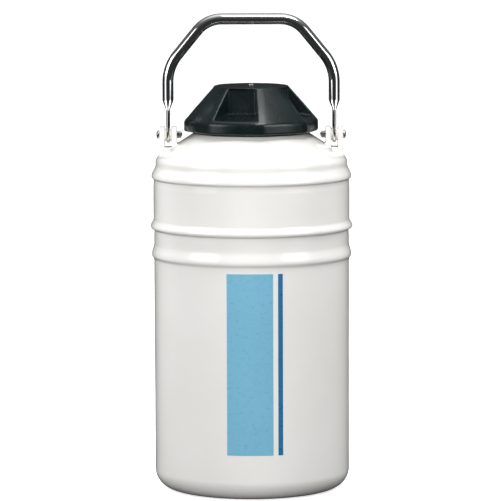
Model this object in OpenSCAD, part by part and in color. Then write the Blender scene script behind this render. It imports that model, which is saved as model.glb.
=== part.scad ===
// Liquid nitrogen dewar, five litres: a vacuum-insulated can with a loose insulated lid
// and a swinging carrying bail. Millimetres, +Z up, origin at the centre of the base.

/* [Outer vessel] */
// Outside diameter of the can
can_d = 222; // [218:0.5:226]
// Sheet thickness of both outer shells
shell_t = 2; // [1.5:0.1:2.4]
// Height of the can's upper edge, inside the seam
can_top = 272; // [268:0.5:274]
// Outside radius of the can's bottom corner
corner_r = 22; // [16:0.5:30]
// Depth of the hollow under the base
base_recess = 6; // [5.5:0.1:8]
// Height at which the shoulder's knuckle begins
shoulder_z = 373.2; // [372:0.1:376]
// Radius of the straight collar below the knuckle
shoulder_r = 109; // [107:0.1:110]
// Outside radius of the knuckle
knuckle_r = 9; // [6:0.5:12]
// Slope of the shoulder cone above the horizontal, in degrees
shoulder_slope = 33.2; // [31:0.1:35]

/* [Neck] */
// Bore of the neck tube
neck_bore = 56; // [50:0.5:58]
// Wall of the fibreglass neck tube
neck_wall = 1.7; // [1:0.1:2.5]
// Outside diameter of the neck ring's flange
neck_flange_d = 72; // [70:0.5:76]
// Thickness of the neck ring's flange
neck_flange_t = 2.5; // [2:0.1:3]

/* [Inner vessel] */
// Outside diameter of the inner vessel
inner_d = 180; // [170:1:186]
// Sheet thickness of the inner vessel
inner_t = 1.5; // [1:0.1:2]
// Height of the inner vessel's bottom
inner_base_z = 26; // [25:0.5:32]
// Height at which the inner vessel's shoulder begins
inner_shoulder_z = 205; // [195:1:215]
// Corner radius of the inner vessel
inner_corner = 25; // [20:1:30]

/* [Lid] */
// Flat-to-flat size of the lid's eight-sided rim
rim_flats = 148.6; // [142:0.2:150]
// Height of the rim's lower edge
rim_z = 409; // [408.5:0.1:410]
// Height of the lid's top face
lid_top = 460.4; // [458:0.2:461]
// Flat-to-flat size of the lid's top face
lid_top_flats = 89.5; // [88:0.5:94]
// Direction of the first finger pocket, in degrees from +X
lid_turn = -105; // [-180:1:180]
// Diameter of the insulating neck plug
plug_d = 53; // [45:0.5:54]
// Length of the plug below the neck's mouth
plug_len = 60; // [30:1:62]

/* [Handle] */
// Outside diameter of the bail's tube
tube_d = 12.6; // [11:0.1:14]
// Wall of the bail's tube
tube_wall = 1.2; // [1:0.1:2]
// Distance from the centre to each leg's axis
leg_x = 94.4; // [94:0.1:95.5]
// Height of the bail's top bar, at its centreline
bail_top = 535.6; // [534:0.1:560]
// Height of the pivot
pivot_z = 404.5; // [404:0.1:406]
// Lean of the bail's upper legs, in degrees from vertical
leg_lean = 39.2; // [36:0.1:42]
// Centreline radius of the lower bends
low_bend_r = 49.7; // [44:0.1:54]
// Centreline radius of the upper bends
high_bend_r = 35.7; // [30:0.1:40]
// Half the length of the straight top bar
top_bar_half = 33.3; // [30:0.1:40]
// Thickness of the flattened leg ends
strip_t = 4.2; // [3.6:0.1:5]
// Width of the flattened leg ends
strip_w = 18.6; // [16:0.1:19]

/* [Brackets] */
// Thickness of each ear
ear_t = 5.8; // [4:0.1:6.2]
// Width of the slot between the ears
slot_w = 8; // [7.4:0.1:9]
// Radius of the ears' round tops
ear_r = 9.5; // [8:0.1:10]
// Diameter of the pivot bolts
bolt_d = 5; // [4:0.5:6]

/* [Graphics] */
// Height of the lower edge of the blue panel and stripe
panel_z = 52.6; // [40:0.2:80]
// Height of the upper edge of the blue panel and stripe
panel_top = 257; // [200:1:260]

/* [Hidden] */
$fn = 96;

// Running clearance of a turning fit, and the gap of a bonded or screwed one
run_gap = 0.06;
bond_gap = 0.05;
// Gap between faces of different bodies that curve past each other
body_gap = 0.35;
overrun = 1; // how far a cutting shape runs past what it cuts

can_r = can_d / 2;
neck_r = neck_bore / 2;

// ---- Outlines, as lists of [radius, height] ----

function arc(c, r, from, to, steps) =
    [for (i = [0:steps]) let (a = from + (to - from) * i / steps) c + r * [cos(a), sin(a)]];

function reversed(p) = [for (i = [len(p) - 1:-1:0]) p[i]];

function unit(v) = v / norm(v);

// An outline moved sideways by d, to the left of its own direction
function inset(p, d) =
    [for (i = [0:len(p) - 1])
        let (t = unit(p[min(i + 1, len(p) - 1)] - p[max(i - 1, 0)]))
        p[i] + d * [-t[1], t[0]]];

// Lower half of a pressed bead: hollow out of the wall, then round into the peak
function bead_under(wall_r, peak_r, peak_z, h) =
    let (a = 2 * atan((peak_r - wall_r) / h), both = h / sin(a), round_r = 0.6 * both,
         hollow_r = both - round_r)
    concat(arc([wall_r + hollow_r, peak_z - h], hollow_r, 180, 180 - a, 3),
           [for (i = [1:5]) let (t = -a * (1 - i / 5))
               [peak_r - round_r + round_r * cos(t), peak_z + round_r * sin(t)]]);

// Upper half of a pressed bead: an S-curve that runs back into the wall
function bead_over(wall_r, peak_r, peak_z, h) =
    [for (i = [1:8]) let (t = i / 8)
        [wall_r + (peak_r - wall_r) * (1 + cos(180 * t)) / 2, peak_z + h * t]];

// A wall that draws in by depth towards the crease above it
function draw_in(wall_r, depth, low, high) =
    [for (i = [0:6]) let (t = i / 6)
        [wall_r - depth * (1 - cos(180 * t)) / 2, low + (high - low) * t]];

// Ring 3 laps over the can, ring 2 and ring 1 stand above it
seam_z = can_top - 9.2;
band_r = can_r + 0.5;
recess_r = can_r - 0.1;
ring3_peak = [can_r + 2.6, can_top - 3.4];
ring2_peak = [can_r + 3.9, can_top + 28.8];
ring1_peak = [can_r + 2.7, can_top + 85.3];

// Shoulder: collar, knuckle, cone and a crown that ends flat round the neck
knuckle_c = [shoulder_r - knuckle_r, shoulder_z];
knuckle_end = knuckle_c + knuckle_r * [sin(shoulder_slope), cos(shoulder_slope)];
crown_start_r = 62;
crown_start = [crown_start_r,
               knuckle_end[1] + (knuckle_end[0] - crown_start_r) * tan(shoulder_slope)];
crown_in_r = neck_flange_d / 2;
crown_r = (crown_start_r - crown_in_r) / sin(shoulder_slope);
crown_c = [crown_in_r, crown_start[1] - crown_r * cos(shoulder_slope)];
crown_top = crown_c[1] + crown_r;
mouth_z = crown_top + neck_flange_t;
sleeve_r = neck_r + neck_wall + 3.3;

shoulder_outline = concat(
    arc(knuckle_c, knuckle_r, 0, 90 - shoulder_slope, 8),
    arc(crown_c, crown_r, 90 - shoulder_slope, 90, 8));

under2 = 5.2; // height of the lower half of ring 2, and of ring 1
under1 = 4;
draw2 = 0.35; // how far the wall draws in under ring 2, and under ring 1
draw1 = 0.5;
upper_outline = concat(
    bead_over(recess_r, ring3_peak[0], ring3_peak[1], 13),
    draw_in(recess_r, draw2, ring2_peak[1] - under2 - 6.8, ring2_peak[1] - under2 - 0.01),
    bead_under(recess_r - draw2, ring2_peak[0], ring2_peak[1], under2),
    bead_over(band_r, ring2_peak[0], ring2_peak[1], 8.4),
    draw_in(band_r, draw1, ring1_peak[1] - under1 - 8, ring1_peak[1] - under1 - 0.01),
    bead_under(band_r - draw1, ring1_peak[0], ring1_peak[1], under1),
    bead_over(shoulder_r, ring1_peak[0], ring1_peak[1], 13.5),
    shoulder_outline,
    [[sleeve_r + bond_gap, crown_top]]);
bell_outline = bead_under(can_r + 0.4, ring3_peak[0], ring3_peak[1], ring3_peak[1] - seam_z);

port_r = 9;
recess_edge = 62;
recess_run = 8;
can_outline = concat(
    [[port_r, base_recess], [recess_edge / 2, base_recess]],
    [for (i = [0:8]) let (t = i / 8)
        [recess_edge + recess_run * t, base_recess * (1 + cos(180 * t)) / 2]],
    arc([can_r - corner_r, corner_r], corner_r, -90, 0, 10),
    [[can_r, can_top]]);

// Inner vessel, with the same drawn shape at a smaller size
inner_r = inner_d / 2;
inner_seam = 140;
inner_slope = 30;
collar_r = neck_r + neck_wall + 3.8;
inner_knuckle_c = [inner_r - inner_corner, inner_shoulder_z];
inner_cone_top_r = 45;
inner_knuckle_end = inner_knuckle_c + inner_corner * [sin(inner_slope), cos(inner_slope)];
inner_cone_z = inner_knuckle_end[1]
    + (inner_knuckle_end[0] - inner_cone_top_r) * tan(inner_slope);
inner_crown_r = (inner_cone_top_r - collar_r - bond_gap) / sin(inner_slope);
inner_crown_c = [collar_r + bond_gap, inner_cone_z - inner_crown_r * cos(inner_slope)];
inner_top = inner_crown_c[1] + inner_crown_r;

inner_base_outline = concat(
    [[0, inner_base_z], [inner_r / 3, inner_base_z]],
    arc([inner_r - inner_corner, inner_base_z + inner_corner], inner_corner, -90, 0, 10),
    [[inner_r, inner_seam]]);
inner_top_outline = concat(
    [[inner_r, inner_seam]],
    arc(inner_knuckle_c, inner_corner, 0, 90 - inner_slope, 8),
    arc(inner_crown_c, inner_crown_r, 90 - inner_slope, 90, 6));

module spin(outline) {
    rotate_extrude() polygon(outline);
}

module drawn_shell(outline, thickness) {
    spin(concat(outline, reversed(inset(outline, thickness))));
}

// ---- Outer vessel ----

module lower_shell() {
    color("whitesmoke") drawn_shell(can_outline, shell_t);
}

module upper_shell() {
    bell_r = can_r + bond_gap;
    color("white") spin(concat(
        bell_outline,
        upper_outline,
        reversed(inset(upper_outline, shell_t)),
        [[can_r - shell_t, can_top + 3], [bell_r, can_top + 0.5], [bell_r, seam_z]]));
}

// Aluminium ring that closes the vacuum space between the shell and the neck tube
module neck_ring() {
    tube_r = neck_r + neck_wall + bond_gap;
    lip = 1.5;
    color("gainsboro") spin([
        [neck_r, mouth_z], [neck_flange_d / 2, mouth_z],
        [neck_flange_d / 2, crown_top], [sleeve_r, crown_top],
        [sleeve_r, crown_top - 15], [tube_r, crown_top - 15],
        [tube_r, mouth_z - lip], [neck_r, mouth_z - lip]]);
}

collar_z = inner_top - 8;
collar_h = 22;

module neck_tube() {
    z = collar_z - 2;
    top = mouth_z - 1.5;
    color("darkkhaki") translate([0, 0, z]) difference() {
        cylinder(h = top - z, r = neck_r + neck_wall);
        translate([0, 0, -overrun]) cylinder(h = top - z + 2 * overrun, r = neck_r);
    }
}

collar_flange_r = 41;

module neck_collar() {
    tube_r = neck_r + neck_wall + bond_gap;
    color("silver") spin([
        [tube_r, collar_z], [collar_r, collar_z], [collar_r, inner_top],
        [collar_flange_r, inner_top], [collar_flange_r, inner_top + 1.6],
        [collar_r, inner_top + 1.6], [collar_r, collar_z + collar_h],
        [tube_r, collar_z + collar_h]]);
}

// ---- Inner vessel and what lies in the vacuum space ----

module inner_vessel_base() {
    color("silver") drawn_shell(inner_base_outline, inner_t);
}

module inner_vessel_top() {
    color("silver") drawn_shell(inner_top_outline, inner_t);
}

blanket_in = 0.6;
blanket_t = 9;
blanket_base = 11;
port_hole_r = 14;

// Superinsulation, wrapped round the inner vessel and folded under it
module insulation_blanket() {
    in_r = inner_r + blanket_in;
    out_r = in_r + blanket_t;
    floor_z = blanket_base + 7.5;
    in_corner = inner_corner + 2;
    out_corner = in_corner + blanket_t;
    covered = [for (p = reversed(inner_top_outline)) if (p[0] > inner_cone_top_r - 0.1) p];
    color("lightgray") spin(concat(
        [[port_hole_r, floor_z], [port_hole_r, blanket_base]],
        arc([out_r - out_corner, blanket_base + out_corner], out_corner, -90, 0, 8),
        reversed(inset(covered, blanket_in + blanket_t)),
        inset(covered, blanket_in),
        arc([in_r - in_corner, floor_z + in_corner], in_corner, 0, -90, 8)));
}

// Molecular sieve in a flat ring-shaped pouch under the inner vessel
module adsorbent_pack() {
    in_r = 18;
    out_r = 60;
    h = 6.6;
    round_r = 3;
    z = inner_base_z - 0.2 - h;
    color("tan") spin(concat(
        arc([in_r + round_r, z + round_r], round_r, 180, 270, 4),
        arc([out_r - round_r, z + round_r], round_r, 270, 360, 4),
        [[out_r, z + h], [in_r, z + h]]));
}

module getter_capsule() {
    r = 3;
    h = 18;
    color("slategray")
        translate([0, collar_flange_r - r - 0.6, inner_top + 1.6]) {
            cylinder(h = h, r = r);
            translate([0, 0, h]) cylinder(h = 3, r1 = r, r2 = r / 3);
        }
}

// ---- Vacuum port in the hollow of the base ----

port_bore = 5;
port_low = 3;

module vacuum_port() {
    panel_in = base_recess + shell_t;
    neck = port_r - bond_gap;
    color("silver") spin([
        [port_bore, port_low], [neck, port_low], [neck, panel_in + bond_gap],
        [port_hole_r - 1, panel_in + bond_gap], [port_hole_r - 1, panel_in + 2],
        [port_r - 1, panel_in + 2], [port_r - 1, 17], [port_bore, 17]]);
}

groove_z = 8;
groove_h = 2.2;
groove_r = 3.1;

module vacuum_plug() {
    stem = port_bore - bond_gap;
    color("dimgray") spin([
        [0, port_low - 1.4], [7, port_low - 1.4], [7, port_low], [stem, port_low],
        [stem, groove_z], [groove_r, groove_z], [groove_r, groove_z + groove_h],
        [stem, groove_z + groove_h], [stem, 14], [stem - 1, 15], [0, 15]]);
}

module port_o_ring() {
    ring_r = (port_bore - groove_r) / 2 - bond_gap;
    color("black") rotate_extrude()
        translate([groove_r + bond_gap + ring_r, groove_z + groove_h / 2]) circle(r = ring_r);
}

module port_cap() {
    low = 0.7;
    out_r = port_r + 2;
    color("black") spin([
        [0, low], [out_r - 0.8, low], [out_r, low + 0.8], [out_r, base_recess - 0.2],
        [port_r + bond_gap, base_recess - 0.2], [port_r + bond_gap, low + 0.8],
        [0, low + 0.8]]);
}

// ---- Handle brackets, bolts and friction washers; side is -1 or +1 ----

slot_in = leg_x - slot_w / 2;
slot_out = leg_x + slot_w / 2;
slot_floor = pivot_z - 14;

// Turns a shape drawn along +Z so that it runs along X at the pivot
module at_pivot(x) {
    translate([x, 0, pivot_z]) rotate([0, 90, 0]) children();
}

// The space inside the outer shell's skin, which the brackets are cut back from
module shoulder_solid() {
    spin(concat([[0, ring1_peak[1]], [shoulder_r, ring1_peak[1]]],
                shoulder_outline, [[0, crown_top]]));
}

// One ear: a round top whose flanks spread a little towards the foot
module ear_face() {
    foot = 12;
    drop = pivot_z - shoulder_z;
    circle(r = ear_r);
    polygon([[0, -ear_r], [0, ear_r], [drop, foot], [drop, -foot]]);
}

module bracket(side) {
    color("whitesmoke") mirror([side < 0 ? 1 : 0, 0, 0]) difference() {
        union() {
            at_pivot(slot_in - ear_t) linear_extrude(ear_t) ear_face();
            at_pivot(slot_out) linear_extrude(ear_t) ear_face();
            translate([slot_in - overrun, -ear_r, shoulder_z])
                cube([slot_w + 2 * overrun, 2 * ear_r, slot_floor - shoulder_z]);
        }
        at_pivot(slot_in - ear_t - overrun)
            cylinder(h = slot_w + 2 * ear_t + 2 * overrun, r = bolt_d / 2 + bond_gap);
        shoulder_solid();
    }
}

nut_t = 5;
bolt_tail = 1.2;

module pivot_bolt(side) {
    head_r = bolt_d * 0.96;
    head_h = 3.6;
    dome_h = 1.2;
    tip_x = slot_in - ear_t - nut_t - bolt_tail;
    head_x = slot_out + ear_t;
    slot_depth = 1.4;
    color("silver") mirror([side < 0 ? 1 : 0, 0, 0]) difference() {
        union() {
            at_pivot(tip_x) cylinder(h = head_x - tip_x, r = bolt_d / 2);
            at_pivot(head_x) rotate_extrude() polygon(concat(
                [[0, 0], [head_r, 0], [head_r, head_h - dome_h]],
                [for (a = [15:15:90]) [head_r * cos(a), head_h - dome_h + dome_h * sin(a)]]));
        }
        for (turn = [0, 90])
            at_pivot(head_x + head_h - slot_depth) rotate([0, 0, turn + 30])
                translate([-head_r / 2, -0.6, 0]) cube([head_r, 1.2, slot_depth + overrun]);
    }
}

module pivot_nut(side) {
    across_corners = 8.1;
    color("gainsboro") mirror([side < 0 ? 1 : 0, 0, 0])
        at_pivot(slot_in - ear_t - nut_t) difference() {
            intersection() {
                cylinder(h = nut_t, d = across_corners, $fn = 6);
                union() {
                    cylinder(h = 0.6, r1 = 3.5, r2 = 4.1);
                    translate([0, 0, 0.6]) cylinder(h = nut_t - 0.6, r = 4.1);
                }
            }
            translate([0, 0, -overrun])
                cylinder(h = nut_t + 2 * overrun, r = bolt_d / 2 + bond_gap);
        }
}

module friction_washers(side) {
    washer_t = (slot_w - strip_t) / 2;
    color("ivory") mirror([side < 0 ? 1 : 0, 0, 0])
        for (x = [slot_in, leg_x + strip_t / 2])
            at_pivot(x) difference() {
                cylinder(h = washer_t, r = 7);
                translate([0, 0, -overrun])
                    cylinder(h = washer_t + 2 * overrun, r = bolt_d / 2 + bond_gap);
            }
}

// ---- Bail ----

strip_top = 431.5;
taper_top = 445;

low_bend_z = bail_top - high_bend_r * (1 - sin(leg_lean)) - low_bend_r * sin(leg_lean)
    - cos(leg_lean) * (leg_x - low_bend_r * (1 - cos(leg_lean))
                       - top_bar_half - high_bend_r * cos(leg_lean)) / sin(leg_lean);
lean_start = [leg_x - low_bend_r * (1 - cos(leg_lean)), low_bend_z + low_bend_r * sin(leg_lean)];
lean_len = (lean_start[0] - top_bar_half - high_bend_r * cos(leg_lean)) / sin(leg_lean);

// One bend of round bar about centre c, from angle a0, turning by sweep, in the XZ plane
module bend(c, r, a0, sweep, bar_r) {
    translate([c[0], 0, c[1]]) rotate([90, 0, 0]) rotate([0, 0, a0])
        rotate_extrude(angle = sweep) translate([r, 0]) circle(r = bar_r);
}

// The straight runs reach a little way into the bends and are a hair slimmer, so that
// the joined faces cross cleanly
lap = 1;
lap_step = 0.03;

// The bail's centreline, thickened to bar_r, from its top bar down to height low
module bail_bar(bar_r, low) {
    run_r = bar_r - lap_step;
    translate([-top_bar_half - lap, 0, bail_top]) rotate([0, 90, 0])
        cylinder(h = 2 * (top_bar_half + lap), r = run_r);
    for (side = [0, 1]) mirror([side, 0, 0]) {
        bend([top_bar_half, bail_top - high_bend_r], high_bend_r, leg_lean, 90 - leg_lean, bar_r);
        translate([lean_start[0], 0, lean_start[1]]) rotate([0, -leg_lean, 0])
            translate([0, 0, -lap]) cylinder(h = lean_len + 2 * lap, r = run_r);
        bend([leg_x - low_bend_r, low_bend_z], low_bend_r, 0, leg_lean, bar_r);
        translate([leg_x, 0, low]) cylinder(h = low_bend_z + lap - low, r = run_r);
    }
}

// A leg's end, pressed flat from the round tube and rounded about the pivot
module leg_end() {
    end_r = strip_w / 2;
    hull() {
        translate([leg_x, 0, taper_top]) cylinder(h = 0.5, d = tube_d, $fn = 32);
        translate([leg_x - strip_t / 2, -end_r, strip_top - 0.5]) cube([strip_t, strip_w, 0.5]);
    }
    difference() {
        union() {
            at_pivot(leg_x - strip_t / 2) cylinder(h = strip_t, r = end_r);
            translate([leg_x - strip_t / 2, -end_r, pivot_z])
                cube([strip_t, strip_w, strip_top - pivot_z]);
        }
        at_pivot(leg_x - strip_t)
            cylinder(h = 2 * strip_t, r = bolt_d / 2 + run_gap);
    }
}

module bail() {
    drain_r = 1.5;
    color("silver") {
        difference() {
            bail_bar(tube_d / 2, taper_top + 0.5);
            bail_bar(tube_d / 2 - tube_wall, taper_top + 4);
            for (x = [-leg_x, leg_x])
                translate([x, 0, taper_top + 8]) rotate([-90, 0, 0])
                    cylinder(h = tube_d, r = drain_r);
        }
        for (side = [0, 1]) mirror([side, 0, 0]) leg_end();
    }
}

// ---- Lid ----

rim_r = rim_flats / 2;
top_r = lid_top_flats / 2;
rim_h = 12.5;
bevel_h = 3;
slope_r = rim_r - 2.5;
slope_z = rim_z + rim_h + bevel_h;
corner_of = 1 / cos(22.5); // an octagon's corner-to-corner size over its flat-to-flat size
rounded_of = 1.029; // the same with the corners rounded off
pocket_back = 38.5;
pocket_back_half = 15.4;
pocket_mouth = slope_r;
pocket_mouth_half = 27;
pocket_floor_in = 430;
pocket_floor_out = slope_z - 0.5;
pocket_ceiling = lid_top - 2.2;
cavity_r = pocket_back - 2.5;
skirt_r = 66.5;
roof_z = lid_top - 5.4;
screw_r = 2;

// One finger pocket, cut along +X: it widens outwards under a level ceiling, and its floor falls
module pocket_cut() {
    past = 0.5; // the cut runs on past the mouth by this much of its own depth
    depth = pocket_mouth - pocket_back;
    reach = pocket_mouth + past * depth;
    half = pocket_mouth_half + past * (pocket_mouth_half - pocket_back_half);
    fall = pocket_floor_in - pocket_floor_out;
    intersection() {
        translate([0, 0, rim_z]) linear_extrude(lid_top) polygon([
            [pocket_back, -pocket_back_half], [reach, -half],
            [reach, half], [pocket_back, pocket_back_half]]);
        rotate([90, 0, 0]) linear_extrude(2 * rim_r, center = true) polygon([
            [pocket_back, pocket_floor_in], [reach, pocket_floor_out - past * fall],
            [reach, pocket_ceiling], [pocket_back, pocket_ceiling]]);
    }
}

// The lid's outside at a given scale of its radii, from the rim up
module lid_stack(scale_of, sides) {
    radii = scale_of * [rim_r, slope_r, top_r];
    translate([0, 0, rim_z]) cylinder(h = rim_h, r = radii[0], $fn = sides);
    translate([0, 0, rim_z + rim_h]) cylinder(h = bevel_h, r1 = radii[0], r2 = radii[1], $fn = sides);
    translate([0, 0, slope_z])
        cylinder(h = lid_top - slope_z, r1 = radii[1], r2 = radii[2], $fn = sides);
}

module lid_cap() {
    color("darkslategray") rotate([0, 0, lid_turn]) difference() {
        intersection() {
            rotate([0, 0, 22.5]) lid_stack(corner_of, 8);
            lid_stack(rounded_of, $fn);
        }
        for (turn = [0:90:270]) rotate([0, 0, turn]) pocket_cut();
        translate([0, 0, rim_z - overrun]) cylinder(h = 13 + overrun, r = skirt_r + bond_gap);
        translate([0, 0, rim_z]) cylinder(h = roof_z - rim_z, r = cavity_r);
        cylinder(h = lid_top + overrun, r = screw_r + run_gap);
    }
}

// Foam body inside the cap; its flat underside rests on the neck ring
module lid_foam() {
    flange_r = 57.8;
    flange_z = rim_z + 13 - bond_gap;
    color("beige") difference() {
        union() {
            translate([0, 0, mouth_z]) cylinder(h = flange_z - mouth_z, r = flange_r);
            translate([0, 0, mouth_z])
                cylinder(h = roof_z - bond_gap - mouth_z, r = cavity_r - bond_gap);
        }
        translate([0, 0, mouth_z - overrun])
            cylinder(h = roof_z, r = plug_d / 2 + run_gap);
    }
}

// Soft ring that closes the gap between the lid's rim and the shoulder
module lid_skirt() {
    in_r = 58;
    top = rim_z + 13 - bond_gap;
    drop = crown_start[1] + body_gap / cos(shoulder_slope);
    color("black") spin([
        [in_r, top], [skirt_r, top],
        [skirt_r, drop - (skirt_r - crown_start_r) * tan(shoulder_slope)],
        [crown_start_r, drop], [in_r, drop + (crown_start_r - in_r) * tan(shoulder_slope)]]);
}

insert_h = 14;
insert_r = 4;

module neck_plug() {
    edge = 2;
    low = mouth_z - plug_len;
    top = roof_z - bond_gap;
    color("gainsboro") difference() {
        spin([[0, low], [plug_d / 2 - edge, low], [plug_d / 2, low + edge],
              [plug_d / 2, top], [0, top]]);
        translate([0, 0, roof_z - insert_h]) cylinder(h = insert_h + overrun, r = insert_r + bond_gap);
    }
}

module plug_insert() {
    color("goldenrod") translate([0, 0, roof_z - insert_h + bond_gap]) difference() {
        cylinder(h = insert_h - 2 * bond_gap, r = insert_r);
        translate([0, 0, 2]) cylinder(h = insert_h, r = screw_r + bond_gap);
    }
}

module lid_screw() {
    head_r = 3.3;
    head_h = 2.1;
    dome_h = 0.9;
    color("silver") difference() {
        union() {
            translate([0, 0, roof_z - 10]) cylinder(h = lid_top - roof_z + 10, r = screw_r);
            translate([0, 0, lid_top]) spin(concat(
                [[0, 0], [head_r, 0], [head_r, head_h - dome_h]],
                [for (a = [15:15:90]) [head_r * cos(a), head_h - dome_h + dome_h * sin(a)]]));
        }
        translate([-head_r, -0.45, lid_top + head_h - 0.9]) cube([2 * head_r, 0.9, 2]);
    }
}

// ---- Printed graphics: thin films on the front of the can ----

film_t = 0.15;
film_gap = 0.03;

// A film between two distances from the centreline, both measured straight across
module film(left, right, colour) {
    from = asin(left / can_r) - 90;
    to = asin(right / can_r) - 90;
    color(colour) rotate([0, 0, from]) rotate_extrude(angle = to - from)
        translate([can_r + film_gap, panel_z]) square([film_t, panel_top - panel_z]);
}

module blue_panel() {
    film(-28, 23.8, "skyblue");
}

module blue_stripe() {
    film(29.3, 34.6, "steelblue");
}

lower_shell();
upper_shell();
neck_ring();
neck_tube();
neck_collar();
inner_vessel_base();
inner_vessel_top();
insulation_blanket();
adsorbent_pack();
getter_capsule();
vacuum_port();
vacuum_plug();
port_o_ring();
port_cap();
bracket(-1);  // bracket_left
bracket(1);  // bracket_right
pivot_bolt(-1);  // pivot_bolt_left
pivot_bolt(1);  // pivot_bolt_right
pivot_nut(-1);  // pivot_nut_left
pivot_nut(1);  // pivot_nut_right
friction_washers(-1);  // friction_washers_left
friction_washers(1);  // friction_washers_right
bail();
lid_cap();
lid_foam();
lid_skirt();
neck_plug();
plug_insert();
lid_screw();
blue_panel();
blue_stripe();
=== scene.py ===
"""Looks of a five-litre liquid nitrogen dewar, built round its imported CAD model."""
import math

import bmesh
import bpy
import numpy as np
from mathutils import Matrix, Vector


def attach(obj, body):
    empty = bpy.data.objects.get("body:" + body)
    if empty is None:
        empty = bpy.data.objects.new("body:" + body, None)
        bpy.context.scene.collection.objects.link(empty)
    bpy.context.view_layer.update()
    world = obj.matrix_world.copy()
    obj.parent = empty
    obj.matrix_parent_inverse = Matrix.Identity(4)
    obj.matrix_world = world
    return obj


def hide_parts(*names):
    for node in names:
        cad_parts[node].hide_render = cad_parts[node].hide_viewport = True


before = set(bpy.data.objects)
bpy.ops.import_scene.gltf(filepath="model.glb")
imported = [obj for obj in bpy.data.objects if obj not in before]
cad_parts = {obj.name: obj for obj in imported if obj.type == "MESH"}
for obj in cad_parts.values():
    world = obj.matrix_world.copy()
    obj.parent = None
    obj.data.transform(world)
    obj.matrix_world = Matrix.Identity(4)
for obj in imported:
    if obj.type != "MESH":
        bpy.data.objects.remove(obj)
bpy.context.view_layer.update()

MM = 0.001

# ---- Dimensions in millimetres, as in the CAD source ----

CAN_R = 111.0
SHELL_T = 2.0
CAN_TOP = 272.0
SEAM_Z = 262.8
PIVOT_Z = 404.5
LEG_X = 94.4
EAR_T = 5.8
SLOT_W = 8.0
LID_TOP = 460.4
RIM_Z = 409.0
LID_TURN = math.radians(-105)
SHOULDER_SLOPE = math.radians(33.2)
MOUTH_Z = 419.07
CROWN_TOP = 416.57
PANEL_LOW, PANEL_HIGH = 52.6, 257.0


# ---- Outlines: lists of (radius, height) ----

def arc(centre, radius, start, end, steps):
    """Points on an arc, angles in degrees."""
    points = []
    for i in range(steps + 1):
        angle = math.radians(start + (end - start) * i / steps)
        points.append((centre[0] + radius * math.cos(angle), centre[1] + radius * math.sin(angle)))
    return points


def bead_under(wall_r, peak, height):
    """Lower half of a pressed bead: hollow out of the wall, then round into the peak."""
    turn = 2 * math.atan((peak[0] - wall_r) / height)
    both = height / math.sin(turn)
    round_r, hollow_r, turn = 0.6 * both, 0.4 * both, math.degrees(turn)
    return (arc((wall_r + hollow_r, peak[1] - height), hollow_r, 180, 180 - turn, 6)
            + arc((peak[0] - round_r, peak[1]), round_r, -turn, 0, 8)[1:])


def bead_over(wall_r, peak, height):
    """Upper half of a pressed bead: an S-curve that runs back into the wall."""
    points = []
    for i in range(1, 15):
        t = i / 14
        points.append((wall_r + (peak[0] - wall_r) * (1 + math.cos(math.pi * t)) / 2,
                       peak[1] + height * t))
    return points


def dip(wall_r, depth, low, high):
    """A wall that draws in a little towards the crease above it."""
    points = []
    for i in range(9):
        t = i / 8
        points.append((wall_r - depth * (1 - math.cos(math.pi * t)) / 2, low + (high - low) * t))
    return points


def inset(points, distance):
    """An open outline moved sideways, to the left of its own direction."""
    moved = []
    for i, (r, z) in enumerate(points):
        before, after = points[max(i - 1, 0)], points[min(i + 1, len(points) - 1)]
        along = Vector((after[0] - before[0], after[1] - before[1])).normalized()
        moved.append((r - distance * along.y, z + distance * along.x))
    return moved


def softened(points, radius, steps=3):
    """A closed outline with its corners rounded."""
    rounded = []
    for i, here in enumerate(points):
        here = Vector(here)
        to_last = Vector(points[i - 1]) - here
        to_next = Vector(points[(i + 1) % len(points)]) - here
        if here.x < 1e-6 or min(to_last.length, to_next.length) < 1e-6:
            rounded.append(tuple(here))
            continue
        reach = min(radius, 0.45 * to_last.length, 0.45 * to_next.length)
        start = here + to_last.normalized() * reach
        end = here + to_next.normalized() * reach
        for k in range(steps + 1):
            t = k / steps
            rounded.append(tuple(start * (1 - t) ** 2 + here * 2 * t * (1 - t) + end * t ** 2))
    return rounded


# ---- Meshes ----

def piece_from(name, mesh, body, nodes, material, sharp=35):
    """Makes a mesh a piece that rides on a body and stands for CAD nodes."""
    mesh.polygons.foreach_set("use_smooth", [True] * len(mesh.polygons))
    mesh.set_sharp_from_angle(angle=math.radians(sharp))
    mesh.materials.clear()
    mesh.materials.append(material)
    piece = bpy.data.objects.new(name, mesh)
    bpy.context.scene.collection.objects.link(piece)
    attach(piece, body)
    if nodes:
        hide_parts(*nodes)
    return piece


def mesh_of(name, verts, faces, recalc=True):
    """A mesh in metres from vertices in millimetres."""
    mesh = bpy.data.meshes.new(name)
    mesh.from_pydata([tuple(c * MM for c in v) for v in verts], [], faces)
    if recalc:
        work = bmesh.new()
        work.from_mesh(mesh)
        bmesh.ops.recalc_face_normals(work, faces=work.faces)
        work.to_mesh(mesh)
        work.free()
    mesh.update()
    return mesh


def revolved(name, outline, segments=160, place=None):
    """A closed outline turned about Z, or about another axis given by a matrix in millimetres."""
    verts, faces, rings = [], [], []
    for r, z in outline:
        if r < 1e-6:
            rings.append([len(verts)] * segments)
            verts.append(Vector((0, 0, z)))
            continue
        rings.append(list(range(len(verts), len(verts) + segments)))
        for i in range(segments):
            angle = 2 * math.pi * i / segments
            verts.append(Vector((r * math.cos(angle), r * math.sin(angle), z)))
    for j, ring in enumerate(rings):
        above = rings[(j + 1) % len(rings)]
        if ring[0] == ring[1] and above[0] == above[1]:
            continue
        for i in range(segments):
            k = (i + 1) % segments
            corners = [ring[i], ring[k], above[k], above[i]]
            faces.append(list(dict.fromkeys(corners)))
    if place is not None:
        verts = [place @ v for v in verts]
    return mesh_of(name, verts, faces)


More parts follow.
